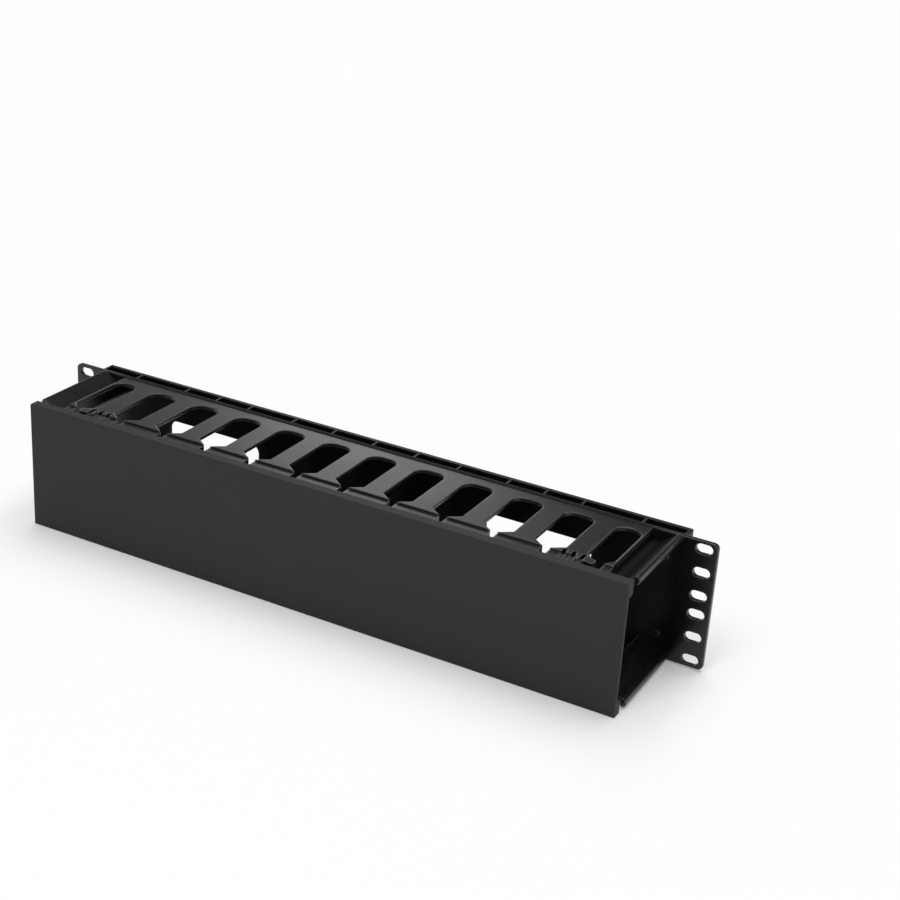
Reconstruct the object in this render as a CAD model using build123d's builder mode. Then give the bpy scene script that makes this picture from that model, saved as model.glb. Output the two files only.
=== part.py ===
"""Horizontal cable manager for a 19 inch rack, two rack units high.

A black plastic base has rack ears, a slotted finger panel above and below its plate, curved guides
at its ends and ribbed channels behind. A front cover clips onto small rods in the finger panels
and swings up about the top ones. X runs along the rack's width, +Y to the rear and Z up, and the
origin is in the middle of the underside of the whole object. Sizes are in millimetres.
"""

import os

from build123d import *

# Rack fit
rack_width = 482.6
unit_height = 44.45
unit_count = 2
height_play = 2.4
ear_hole_inset = 8.75
ear_hole_step = 15.875
ear_slot_length = 10.8
ear_slot_width = 6.5

# Back plate
plate_thickness = 2.7
ear_corner_radius = 3.5
window_offset = 123.7
window_width = 74.0
window_height = 40.7
window_radius = 6.5
boss_inset = 32.7
boss_spread = 53.2
boss_diameter = 5.0
boss_height = 0.7
plate_edge_radius = 0.5

# Channels behind the plate
channel_inset = 20.8
channel_height = 22.1
channel_gap = 6.9
channel_wall = 3.4
channel_floor = 2.0
channel_end_wall = 2.2
channel_rib = 1.3
channel_rib_offsets = (31.2, 62.5, 98.2, 124.0, 150.0, 191.0)
channel_edge_radius = 1.1

# Finger panels
panel_drop = 0.6
panel_thickness = 2.5
slot_count = 12
end_slot_inset = 50.8
slot_width = 20.6
slot_rear = 8.4
slot_side_end = 53.4
slot_corner_radius = 7.5
end_slot_half = 6.8
end_finger_width = 1.5
neck_width = 4.8
shoulder_front = 59.3
tip_step_drop = 1.2
tip_front = 67.0
ledge_thickness = 3.8
panel_edge_radius = 0.5

# Hinge rods and the notches around them
notch_pitch = 6.2
notch_width = 2.8
notch_rear = 54.8
rod_diameter = 2.6
rod_reach = 61.0
rod_rise = 1.4
lobe_radius = 2.8
lobe_reach = 61.0
lobe_margin = 0.1
lobe_arm = 4.2

# Cable guides at the ends
guide_length = 65.0
guide_wall = 1.5
guide_valley_depth = 8.2
guide_valley_width = 5.0
guide_skin = 2.0
guide_corner_radius = 2.0
guide_crest_reach = 18.6
guide_crest_rise = 1.3
guide_bead_reach = 21.0
guide_bead_drop = 1.6
guide_under_reach = 17.8
guide_under_drop = 4.8
guide_heel_reach = 14.1
guide_heel_drop = 5.3
guide_edge_bevel = 0.5

# Front cover
cover_inset = 24.5
cover_height = 88.9
cover_wall = 2.3
cover_reach = 77.9
lip_depth = 7.6
cover_corner_radius = 0.8
cover_inner_radius = 0.6
cover_edge_radius = 0.5
gusset_depth = 4.6
gusset_height = 7.2
gusset_thickness = 2.0
clip_clearance = 0.3
clip_radial_clearance = 0.1
clip_wall = 1.1
clip_mouth = 2.3
fork_clearance = 0.3
fork_prong = 2.4

# Places that follow from the sizes
channel_depth = channel_gap + channel_wall
rear_reach = plate_thickness + channel_depth
front_y = (cover_reach - rear_reach) / 2
middle_z = cover_height / 2
plate_height = unit_height * unit_count - height_play
plate_top = middle_z + plate_height / 2
panel_top = plate_top - panel_drop
panel_under = panel_top - panel_thickness
ledge_top = panel_top - tip_step_drop
ledge_under = ledge_top - ledge_thickness
ear_hole_columns = rack_width - 2 * ear_hole_inset
boss_columns = rack_width - 2 * boss_inset
channel_length = rack_width - 2 * channel_inset
cover_length = rack_width - 2 * cover_inset
first_slot = end_slot_inset - rack_width / 2
slot_pitch = -2 * first_slot / (slot_count - 1)
end_slot_edge = -first_slot + end_slot_half
panel_half = end_slot_edge + end_finger_width
hinge_finger = slot_pitch * (slot_count / 2 - 1)
rod_y = front_y - rod_reach
rod_z = ledge_under + rod_rise
middle = Plane.XY.offset(middle_z)
plate_face = Plane.XZ.offset(-front_y)


# Back plate: one flat plate with ears, rack slots and two cable windows

hole_rows = [
    middle_z + side * (unit_height * (unit - 0.5) + row * ear_hole_step)
    for side in (-1, 1)
    for unit in range(1, unit_count // 2 + 1)
    for row in (-1, 0, 1)
]

with BuildPart() as back_plate:
    with BuildSketch(plate_face):
        with Locations((0, middle_z)):
            RectangleRounded(rack_width, plate_height, ear_corner_radius)
        with Locations((-window_offset, middle_z), (window_offset, middle_z)):
            RectangleRounded(window_width, window_height, window_radius, mode=Mode.SUBTRACT)
        with Locations([(side * ear_hole_columns / 2, row) for side in (-1, 1) for row in hole_rows]):
            SlotOverall(ear_slot_length, ear_slot_width, mode=Mode.SUBTRACT)
    extrude(amount=-plate_thickness)
    fillet(back_plate.faces().sort_by(Axis.Y)[0].edges(), plate_edge_radius)
    with BuildSketch(plate_face):
        with Locations((0, middle_z)):
            with GridLocations(boss_columns, boss_spread, 2, 2):
                Circle(boss_diameter / 2)
    extrude(amount=boss_height)

back_plate.part.label = "back_plate"


# Rear channels: a floor, a rear wall and cross ribs, seated on the back of the plate

channel_front = front_y + plate_thickness
channel_rear = channel_front + channel_depth
rib_places = [0] + [side * offset for side in (-1, 1) for offset in channel_rib_offsets]

with BuildPart() as upper_channel:
    with BuildSketch(Plane.XY.offset(plate_top)):
        with Locations((0, (channel_front + channel_rear) / 2)):
            Rectangle(channel_length, channel_depth)
    extrude(amount=-channel_height)
    fillet(upper_channel.edges().filter_by(Axis.Z).group_by(Axis.Y)[-1], channel_edge_radius)
    with BuildSketch(Plane.XY.offset(plate_top)):
        with Locations((0, channel_front + channel_gap / 2)):
            Rectangle(channel_length - 2 * channel_end_wall, channel_gap)
        with Locations([(place, channel_front + channel_gap / 2) for place in rib_places]):
            Rectangle(channel_rib, channel_gap, mode=Mode.SUBTRACT)
    extrude(amount=channel_floor - channel_height, mode=Mode.SUBTRACT)
    fillet(upper_channel.edges().filter_by(Axis.X).group_by(Axis.Z)[-1].group_by(Axis.Y)[-1],
           channel_edge_radius)

upper_channel.part.label = "upper_rear_channel"

with BuildPart() as lower_channel:
    mirror(upper_channel.part, about=middle)

lower_channel.part.label = "lower_rear_channel"


# Finger panels: a slotted strip whose fingers end in T-shaped tips with a lowered ledge


def slot_corners(index):
    """Corners of one cable slot with its tapered mouth and the narrow neck in front of it."""
    centre = first_slot + index * slot_pitch
    left = end_slot_half if index == 0 else slot_width / 2
    right = end_slot_half if index == slot_count - 1 else slot_width / 2
    return (
        (centre - left, front_y - slot_rear),
        (centre + right, front_y - slot_rear),
        (centre + right, front_y - slot_side_end),
        (centre + neck_width / 2, front_y - shoulder_front),
        (centre + neck_width / 2, front_y - tip_front),
        (centre - neck_width / 2, front_y - tip_front),
        (centre - neck_width / 2, front_y - shoulder_front),
        (centre - left, front_y - slot_side_end),
    )


with BuildPart() as top_panel:
    with BuildSketch(Plane.XY.offset(panel_under)) as panel_plan:
        with Locations((0, front_y - shoulder_front / 2)):
            Rectangle(2 * panel_half, shoulder_front)
        for index in range(slot_count):
            Polygon(*slot_corners(index), align=None, mode=Mode.SUBTRACT)
        slot_rear_corners = [
            corner for corner in panel_plan.vertices() if abs(corner.Y - front_y + slot_rear) < 0.01
        ]
        fillet(slot_rear_corners, slot_corner_radius)
    extrude(amount=panel_thickness)
    fillet(top_panel.faces().sort_by(Axis.Z)[-1].edges(), panel_edge_radius)
    fillet(top_panel.faces().sort_by(Axis.Z)[0].edges(), panel_edge_radius)

    # The tips are thicker than the panel and carry the ledge under the cover's lip
    with BuildSketch(Plane.XY.offset(ledge_under)):
        with Locations((0, front_y - (slot_side_end + tip_front) / 2)):
            Rectangle(2 * panel_half, tip_front - slot_side_end)
        for index in range(slot_count):
            Polygon(*slot_corners(index), align=None, mode=Mode.SUBTRACT)
    extrude(amount=ledge_thickness)

    # The outer arm of each hinge finger ends in a round lobe
    arm_root = hinge_finger + (slot_pitch - slot_width) / 2
    arm_end = hinge_finger + (slot_pitch - neck_width) / 2
    lobe_centre = arm_end - lobe_radius + lobe_margin
    with BuildSketch(Plane.XY.offset(ledge_under)):
        for side in (-1, 1):
            with Locations((side * (arm_root + arm_end) / 2, front_y - (slot_side_end + tip_front) / 2)):
                Rectangle(arm_end - arm_root, tip_front - slot_side_end)
    extrude(amount=panel_top - ledge_under, mode=Mode.SUBTRACT)
    with BuildSketch(Plane.XY.offset(ledge_under)):
        for side in (-1, 1):
            with Locations((side * lobe_centre, front_y - lobe_reach)):
                Circle(lobe_radius)
            Polygon(
                (side * (arm_root - lobe_arm), front_y - slot_side_end),
                (side * arm_root, front_y - slot_side_end),
                (side * lobe_centre, front_y - lobe_reach + lobe_arm / 2),
                (side * lobe_centre, front_y - lobe_reach - lobe_arm / 2),
                (side * (arm_root - lobe_arm), front_y - lobe_reach - lobe_arm / 2),
                align=None,
            )
    extrude(amount=panel_top - ledge_under)

    # Notches for the cover's clips, and the rods that cross them
    notch_places = [
        side * hinge_finger + step * notch_pitch for side in (-1, 1) for step in (-1, 0, 1)
    ]
    with BuildSketch(Plane.XY.offset(ledge_under)):
        with Locations([(place, front_y - notch_rear - notch_width / 2) for place in notch_places]):
            Circle(notch_width / 2)
        notch_length = tip_front - notch_rear - notch_width / 2
        with Locations([(place, front_y - tip_front + notch_length / 2) for place in notch_places]):
            Rectangle(notch_width, notch_length)
    extrude(amount=panel_top - ledge_under, mode=Mode.SUBTRACT)
    rod_length = 2 * notch_pitch + 2 * notch_width
    for side in (-1, 1):
        with BuildSketch(Plane.YZ.offset(side * hinge_finger)):
            with Locations((rod_y, rod_z)):
                Circle(rod_diameter / 2)
        extrude(amount=rod_length / 2, both=True)

top_panel.part.label = "top_finger_panel"

with BuildPart() as bottom_panel:
    mirror(top_panel.part, about=middle)

bottom_panel.part.label = "bottom_finger_panel"


# Cable guides: a valley beside the finger panel that rises to a rounded outer bead

guide_x = end_slot_edge
valley_z = panel_top - guide_valley_depth

with BuildPart() as top_right_guide:
    with BuildSketch(plate_face) as guide_section:
        with BuildLine():
            crest = (guide_x + guide_crest_reach, panel_top + guide_crest_rise)
            under = (guide_x + guide_under_reach, panel_top - guide_under_drop)
            Polyline(
                under,
                (guide_x + guide_heel_reach, panel_top - guide_heel_drop),
                (guide_x + guide_wall + guide_valley_width, valley_z - guide_skin),
                (guide_x, valley_z - guide_skin),
                (guide_x, panel_under),
                (guide_x + guide_wall, panel_under),
                (guide_x + guide_wall, valley_z),
                (guide_x + guide_wall + guide_valley_width, valley_z),
                crest,
            )
            ThreePointArc(crest, (guide_x + guide_bead_reach, panel_top - guide_bead_drop), under)
        make_face()
        valley_corners = [
            corner
            for corner in guide_section.vertices()
            if guide_x < corner.X < guide_x + guide_heel_reach and corner.Y < panel_under - panel_thickness
        ]
        fillet(valley_corners, guide_corner_radius)
    extrude(amount=guide_length)
    chamfer(top_right_guide.faces().sort_by(Axis.Y)[0].edges(), guide_edge_bevel)

    # The wall is cut down at its front for the thicker tip of the panel's end finger
    with BuildSketch(Plane.XY.offset(ledge_under)):
        with Locations((guide_x + guide_wall / 2, front_y - (slot_side_end + guide_length) / 2)):
            Rectangle(guide_wall, guide_length - slot_side_end)
    extrude(amount=panel_under - ledge_under, mode=Mode.SUBTRACT)

top_right_guide.part.label = "top_right_guide"

with BuildPart() as top_left_guide:
    mirror(top_right_guide.part, about=Plane.YZ)

top_left_guide.part.label = "top_left_guide"

with BuildPart() as bottom_right_guide:
    mirror(top_right_guide.part, about=middle)

bottom_right_guide.part.label = "bottom_right_guide"

with BuildPart() as bottom_left_guide:
    mirror(top_left_guide.part, about=middle)

bottom_left_guide.part.label = "bottom_left_guide"


# Front cover: a shallow channel with clips on the top rods and open forks on the bottom ones

cover_front = front_y - cover_reach
wall_inside = cover_front + cover_wall
lip_rear = cover_front + lip_depth
lip_under = cover_height - cover_wall
clip_bore = rod_diameter / 2 + clip_radial_clearance
clip_outer = clip_bore + clip_wall
clip_width = notch_width - 2 * clip_clearance
fork_bore = rod_diameter / 2 + fork_clearance
fork_z = 2 * middle_z - rod_z

with BuildPart() as front_cover:
    with BuildSketch(Plane.YZ) as cover_section:
        with Locations((cover_front + lip_depth / 2, middle_z)):
            Rectangle(lip_depth, cover_height)
        outer_corners = cover_section.vertices().group_by(Axis.X)[0]
        fillet(outer_corners, cover_corner_radius)
        with Locations((wall_inside + lip_depth / 2, middle_z)):
            Rectangle(lip_depth, cover_height - 2 * cover_wall, mode=Mode.SUBTRACT)
        inner_corners = [
            corner for corner in cover_section.vertices() if abs(corner.X - wall_inside) < 0.01
            and abs(abs(corner.Y - middle_z) - cover_height / 2 + cover_wall) < 0.01
        ]
        fillet(inner_corners, cover_inner_radius)
        lip_ends = cover_section.vertices().group_by(Axis.X)[-1]
        fillet(lip_ends, cover_edge_radius)
    extrude(amount=cover_length / 2, both=True)
    fillet(front_cover.faces().sort_by(Axis.X)[0].edges(), cover_edge_radius)
    fillet(front_cover.faces().sort_by(Axis.X)[-1].edges(), cover_edge_radius)

    # Gussets stiffen the four inner corners at the cover's ends
    for side in (-1, 1):
        with BuildSketch(Plane.YZ.offset(side * cover_length / 2)) as gusset_section:
            with BuildLine():
                Polyline(
                    (wall_inside, lip_under),
                    (wall_inside + gusset_depth, lip_under),
                    (wall_inside + gusset_depth, lip_under - gusset_height),
                    (wall_inside, lip_under - gusset_height),
                    close=True,
                )
            make_face()
            mirror(about=Plane.XZ.offset(-middle_z))
        extrude(amount=-side * gusset_thickness)

    # Clips closed round the top rods, and forks open to the rear on the bottom ones
    for place in notch_places:
        with BuildSketch(Plane.YZ.offset(place)):
            with BuildLine():
                Polyline(
                    (wall_inside, lip_under),
                    (lip_rear, lip_under),
                    (rod_y, rod_z + clip_outer),
                    (rod_y, rod_z - clip_outer),
                    (wall_inside, rod_z - clip_outer),
                    close=True,
                )
            make_face()
            with Locations((rod_y, rod_z)):
                Circle(clip_outer)
                Circle(clip_bore, mode=Mode.SUBTRACT)
            with Locations((rod_y + clip_outer / 2, rod_z)):
                Rectangle(clip_outer, clip_mouth, mode=Mode.SUBTRACT)
        extrude(amount=clip_width / 2, both=True)
        with BuildSketch(Plane.YZ.offset(place)):
            with BuildLine():
                Polyline(
                    (wall_inside, cover_wall),
                    (lip_rear, cover_wall),
                    (rod_y, fork_z - clip_outer),
                    (rod_y + fork_prong, fork_z - clip_outer),
                    (rod_y + fork_prong, fork_z + clip_outer),
                    (wall_inside, fork_z + clip_outer),
                    close=True,
                )
            make_face()
            with Locations((rod_y, fork_z)):
                Circle(fork_bore, mode=Mode.SUBTRACT)
            with Locations((rod_y + fork_prong / 2, fork_z)):
                Rectangle(fork_prong, 2 * fork_bore, mode=Mode.SUBTRACT)
        extrude(amount=clip_width / 2, both=True)

front_cover.part.label = "front_cover"


# Write one file for each piece

os.makedirs("parts", exist_ok=True)
pieces = (
    back_plate,
    upper_channel,
    lower_channel,
    top_panel,
    bottom_panel,
    top_right_guide,
    top_left_guide,
    bottom_right_guide,
    bottom_left_guide,
    front_cover,
)
for piece in pieces:
    export_step(piece.part, f"parts/{piece.part.label}.step")
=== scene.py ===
"""Looks of a two-unit horizontal cable manager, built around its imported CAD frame."""
import math

import bpy
from mathutils import Matrix, Vector


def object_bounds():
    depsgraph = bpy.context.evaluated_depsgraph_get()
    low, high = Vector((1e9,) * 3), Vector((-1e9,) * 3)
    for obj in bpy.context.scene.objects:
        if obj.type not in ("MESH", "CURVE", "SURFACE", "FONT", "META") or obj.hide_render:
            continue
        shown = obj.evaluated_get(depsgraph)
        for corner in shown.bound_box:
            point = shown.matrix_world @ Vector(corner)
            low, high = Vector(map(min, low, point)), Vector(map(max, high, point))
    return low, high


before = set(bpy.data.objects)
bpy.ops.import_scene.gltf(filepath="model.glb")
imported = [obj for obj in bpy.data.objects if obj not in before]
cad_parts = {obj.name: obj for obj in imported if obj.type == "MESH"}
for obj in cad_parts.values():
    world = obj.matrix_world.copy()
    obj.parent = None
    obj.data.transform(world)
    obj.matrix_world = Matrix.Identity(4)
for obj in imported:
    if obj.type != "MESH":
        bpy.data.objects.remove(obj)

cad_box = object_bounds()


# Back plate: the flat plate with both ears, by which the whole object is screwed to a rack. It is
# injection moulded in black plastic, satin on the ears and coarser between them, so it shines
# softly outside and stays nearly black where it faces into the trough.


class Wire:
    """A node socket, with the arithmetic that adds Math nodes."""

    def __init__(self, tree, socket):
        self.tree = tree
        self.socket = socket

    def node(self, kind, settings=None, output=0, **values):
        """Adds a node of that type: its settings come first, then its socket values or links.

        A socket is named with underscores for spaces, or by its number as i0, i1 and so on.
        """
        made = self.tree.nodes.new(kind)
        for name, value in (settings or {}).items():
            setattr(made, name, value)
        for name, value in values.items():
            by_number = name[1:].isdigit()
            target = made.inputs[int(name[1:])] if by_number else made.inputs[name.replace("_", " ")]
            if isinstance(value, Wire):
                self.tree.links.new(value.socket, target)
            else:
                target.default_value = value
        return Wire(self.tree, made.outputs[output] if made.outputs else None)

    def maths(self, operation, a, b=0.0):
        return self.node("ShaderNodeMath", {"operation": operation}, i0=a, i1=b)

    def __add__(self, other):
        return self.maths("ADD", self, other)

    def __sub__(self, other):
        return self.maths("SUBTRACT", self, other)

    def __mul__(self, other):
        return self.maths("MULTIPLY", self, other)

    def __rsub__(self, other):
        return self.maths("SUBTRACT", other, self)

    def __abs__(self):
        return self.maths("ABSOLUTE", self)

    __radd__ = __add__
    __rmul__ = __mul__

    def between(self, low, high):
        """0 below low, 1 above high, and an even rise between them."""
        return self.node(
            "ShaderNodeMapRange", {"clamp": True}, Value=self,
            From_Min=low, From_Max=high, To_Min=0.0, To_Max=1.0,
        )

    def mixed(self, first, second):
        """The first colour where this value is 0, and the second where it is 1."""
        return self.node(
            "ShaderNodeMix", {"data_type": "RGBA"}, output=2, i0=self, i6=first, i7=second,
        )


ear_start = 0.206
ear_blend = 0.012
gloss_cloud_scale = 22.0
scuff_scale = 90.0
scuff_low, scuff_high = 0.66, 0.76
# Where the painted edge highlight on outer edges starts and ends, and the pale colour it paints
# there.
edge_highlight_low, edge_highlight_high = 0.08, 0.4
edge_highlight_level = 0.1


def shade(level):
    """A neutral grey a touch bluer than plain, as carbon black makes the plastic."""
    return (level, level, level * 1.04, 1)


def moulded_plastic(
    name, level, gloss, roughness, grain, relief, scuff, stretch, rim, edge_highlight, reach,
    coarse=0.0, dulled=0.0,
):
    """Black moulded plastic.

    The grain is fine noise used as bump. Slow clouds shift its colour and gloss a little, as the
    melt's flow does. Scuffs are noise stretched along the piece, kept only where it is highest.
    Its edges are rounded over the rim's width. Outer edges, where rays sent that reach into the
    piece come out of it again, carry a painted highlight: a paler colour standing in for the glint
    of light along the edge, and a little less roughness, as far as the edge highlight's strength
    says. A coarser face between the ears is rougher by that much, and its pits swallow the dulled
    share of its shine.
    """
    material = bpy.data.materials.new(name)
    material.use_nodes = True
    tree = material.node_tree
    tree.nodes.clear()
    start = Wire(tree, None)
    place = start.node("ShaderNodeTexCoord", output="Object")
    pores = start.node("ShaderNodeTexNoise", Vector=place, Scale=1 / grain, Detail=3.0)
    cloud = start.node("ShaderNodeTexNoise", Vector=place, Scale=gloss_cloud_scale, Detail=3.0)
    along = start.node("ShaderNodeMapping", Vector=place, Scale=stretch)
    marks = start.node("ShaderNodeTexNoise", Vector=along, Scale=scuff_scale, Detail=2.0)
    scuffed = marks.between(scuff_low, scuff_high) * scuff
    rounded = start.node("ShaderNodeBevel", {"samples": 6}, Radius=rim)
    solid = start.node(
        "ShaderNodeAmbientOcclusion", {"samples": 8, "inside": True, "only_local": True},
        output="AO", Distance=reach,
    )
    # Painted highlight: outer edges are painted paler, standing in for the glint of light along them,
    # and made a little smoother.
    painted_edge_highlight = (1 - solid).between(edge_highlight_low, edge_highlight_high) * edge_highlight
    across = start.node("ShaderNodeSeparateXYZ", output="X", Vector=place)
    inside = 1 - abs(across).between(ear_start - ear_blend, ear_start + ear_blend)
    height = pores - 0.4 * scuffed
    bump = start.node(
        "ShaderNodeBump", Strength=0.4, Distance=relief, Height=height, Normal=rounded,
    )
    body = cloud.mixed(shade(level * 0.8), shade(level * 1.25))
    marked = scuffed.mixed(body, shade(level * 2))
    colour = painted_edge_highlight.mixed(marked, shade(edge_highlight_level))
    swing = 0.14 * (cloud - 0.5) + 0.1 * scuffed + 0.05 * (pores - 0.5) - 0.1 * painted_edge_highlight
    shader = start.node(
        "ShaderNodeBsdfPrincipled", Base_Color=colour, Normal=bump, IOR=1.5,
        Specular_IOR_Level=gloss,
        Roughness=roughness + swing + coarse * inside,
    )
    dull = start.node("ShaderNodeBsdfDiffuse", Color=shade(level))
    face = start.node("ShaderNodeMixShader", i0=dulled * inside, i1=shader, i2=dull)
    start.node("ShaderNodeOutputMaterial", Surface=face)
    return material


def dress(names, material):
    """Gives the CAD nodes of those names that material."""
    for name in names:
        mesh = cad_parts[name].data
        mesh.materials.clear()
        mesh.materials.append(material)


plate_plastic = moulded_plastic(
    "plate_plastic", level=0.0035, gloss=0.5, roughness=0.22, grain=0.0005, relief=0.00004,
    scuff=0.5, stretch=(0.5, 1.0, 3.0), rim=0.0007, edge_highlight=0.6, reach=0.0012, coarse=0.55,
    dulled=0.5,
)
dress(["back_plate"], plate_plastic)


# Rear channels: two shallow ribbed troughs along the back of the plate that keep it straight.
# They are the same plastic, a little duller, with a painted highlight along their rims and ribs.

channel_plastic = moulded_plastic(
    "channel_plastic", level=0.004, gloss=0.3, roughness=0.5, grain=0.0006, relief=0.00005,
    scuff=0.5, stretch=(0.5, 1.0, 3.0), rim=0.0004, edge_highlight=0.4, reach=0.0008,
)
dress(["upper_rear_channel", "lower_rear_channel"], channel_plastic)


# Finger panels: two slotted strips whose T-shaped fingers hold the cables in, with the small
# hinge rods moulded across the notches of the second finger from each end. Their flat tops
# carry the brightest sheen, with the flow of the melt faint along each finger.

# Their slot and finger edges carry the painted edge highlight at full strength.
finger_plastic = moulded_plastic(
    "finger_plastic", level=0.006, gloss=0.5, roughness=0.33, grain=0.0006, relief=0.00005,
    scuff=0.6, stretch=(3.0, 0.4, 1.0), rim=0.0006, edge_highlight=1.0, reach=0.0014,
)
dress(["top_finger_panel", "bottom_finger_panel"], finger_plastic)


# Cable guides: thin curved troughs at the four corners that lead cables round to the sides.
# They are the same plastic, drawn smoother by the mould where cables slide over them.

# Their crests and edges carry the painted edge highlight at full strength.
guide_plastic = moulded_plastic(
    "guide_plastic", level=0.009, gloss=0.5, roughness=0.28, grain=0.0006, relief=0.00003,
    scuff=0.6, stretch=(1.0, 0.3, 1.0), rim=0.0006, edge_highlight=1.0, reach=0.001,
)
dress(["top_left_guide", "top_right_guide", "bottom_left_guide", "bottom_right_guide"], guide_plastic)


# Front cover: a long shallow channel of the same plastic, moulded with a closer, even grain
# that scatters light more, so its face looks flat and grey beside the shinier fingers.

cover_plastic = moulded_plastic(
    "cover_plastic", level=0.013, gloss=0.42, roughness=0.62, grain=0.00035, relief=0.00003,
    scuff=0.35, stretch=(0.35, 1.0, 3.0), rim=0.0006, edge_highlight=0.3, reach=0.001,
)
dress(["front_cover"], cover_plastic)


# Floor: a plain white sweep that keeps the object's soft shadow. Where it is seen, straight or
# in a shine, a part of its white is its own: little beside the object, so that its shadow shows,
# and nearly all of it a hand's width in front, or less than half of that past the ends.

floor_half = 6.0
own_beside = 0.24
own_gain = 0.7
own_reach = 0.09
end_pull = 2.5
floor_mesh = bpy.data.meshes.new("floor")
floor_mesh.from_pydata(
    [(-floor_half, -floor_half, 0), (floor_half, -floor_half, 0),
     (floor_half, floor_half, 0), (-floor_half, floor_half, 0)], [], [(0, 1, 2, 3)],
)
floor = bpy.data.objects.new("floor", floor_mesh)
bpy.context.scene.collection.objects.link(floor)
floor_paint = bpy.data.materials.new("floor_paint")
floor_paint.use_nodes = True
floor_paint.node_tree.nodes.clear()
table = Wire(floor_paint.node_tree, None)
spot = table.node("ShaderNodeTexCoord", output="Object")
away = table.node("ShaderNodeVectorMath", {"operation": "ABSOLUTE"}, i0=spot)
past = table.node("ShaderNodeVectorMath", {"operation": "SUBTRACT"}, i0=away, i1=cad_box[1])
clear = table.node("ShaderNodeVectorMath", {"operation": "MAXIMUM"}, i0=past, i1=(0, 0, 0))
wider = table.node("ShaderNodeVectorMath", {"operation": "MULTIPLY"}, i0=clear, i1=(end_pull, 1, 1))
gap = table.node("ShaderNodeVectorMath", {"operation": "LENGTH"}, output="Value", i0=wider)
own = own_beside + own_gain * gap.between(0.0, own_reach)
seen = (
    table.node("ShaderNodeLightPath", output="Is Camera Ray")
    + table.node("ShaderNodeLightPath", output="Is Glossy Ray")
    + table.node("ShaderNodeLightPath", output="Is Transmission Ray")
)
paint = table.node("ShaderNodeBsdfDiffuse", Color=(0.97, 0.97, 0.97, 1))
glow = table.node("ShaderNodeEmission", Color=(1, 1, 1, 1), Strength=1.0)
top = table.node("ShaderNodeMixShader", i0=own * seen.between(0, 1), i1=paint, i2=glow)
table.node("ShaderNodeOutputMaterial", Surface=top)
floor_mesh.materials.append(floor_paint)


# Light: a white wall all round under a dim ceiling, one broad soft lamp overhead and a soft box
# in front for the edges. One low behind the object lays a sheen along the middle of the finger
# panel, and a faint one beside it lifts the panel's left end.

world = bpy.data.worlds.new("world")
world.use_nodes = True
world.node_tree.nodes.clear()
sky = Wire(world.node_tree, None)
direction = sky.node("ShaderNodeTexCoord", output="Generated")
rise = sky.node("ShaderNodeSeparateXYZ", output="Z", Vector=direction)
wall_top = 0.16
ceiling_edge = 0.28
wall = rise.between(wall_top, ceiling_edge).mixed((1, 1, 1, 1), (0.03, 0.03, 0.03, 1))
sky.node("ShaderNodeOutputWorld", Surface=sky.node("ShaderNodeBackground", Color=wall, Strength=1.0))
bpy.context.scene.world = world


def aim(lamp, place, target):
    """Links a lamp and turns it from its place towards the target."""
    made = bpy.data.objects.new(lamp.name, lamp)
    made.location = place
    made.rotation_euler = (Vector(target) - Vector(place)).to_track_quat("-Z", "Y").to_euler()
    bpy.context.scene.collection.objects.link(made)


def soft_box(name, wide, high, power, place):
    """A flat rectangular lamp of that size in metres, aimed at the object."""
    lamp = bpy.data.lights.new(name, "AREA")
    lamp.shape = "RECTANGLE"
    lamp.size = wide
    lamp.size_y = high
    lamp.energy = power
    aim(lamp, place, (0, 0, 0.08))


broad_lamp = bpy.data.lights.new("broad_lamp", "SUN")
broad_lamp.energy = 2.0
broad_lamp.angle = math.radians(50)
aim(broad_lamp, (0.05, 0.5, 2.0), (0, 0, 0))
soft_box("front_box", 0.5, 0.5, 7.0, (0.1, -0.78, 1.4))
soft_box("rear_box", 0.46, 0.4, 2.0, (-0.885, 1.59, 0.735))
soft_box("fill_box", 0.32, 0.4, 0.18, (-1.33, 1.38, 0.735))


# Camera: a long lens in front of the right end and a little above the object, turned slightly
# about its own axis, so that the width runs down to the right across the picture.

camera_azimuth = math.radians(27.024)
camera_elevation = math.radians(24.212)
camera_roll = math.radians(3.83)
camera_place = Vector((0.52053, -0.87389, 0.55838))
look_back = Vector((
    math.sin(camera_azimuth) * math.cos(camera_elevation),
    -math.cos(camera_azimuth) * math.cos(camera_elevation),
    math.sin(camera_elevation),
))
level_right = (-look_back).cross(Vector((0, 0, 1))).normalized()
level_up = look_back.cross(level_right)
camera_right = math.cos(camera_roll) * level_right + math.sin(camera_roll) * level_up
camera_up = math.cos(camera_roll) * level_up - math.sin(camera_roll) * level_right

camera_data = bpy.data.cameras.new("camera")
camera_data.lens = 70.52
camera_data.clip_end = 20
camera = bpy.data.objects.new("camera", camera_data)
turn = Matrix((camera_right, camera_up, look_back)).transposed().to_4x4()
camera.matrix_world = Matrix.Translation(camera_place) @ turn
bpy.context.scene.collection.objects.link(camera)
bpy.context.scene.camera = camera
bpy.context.scene.view_settings.view_transform = "Standard"
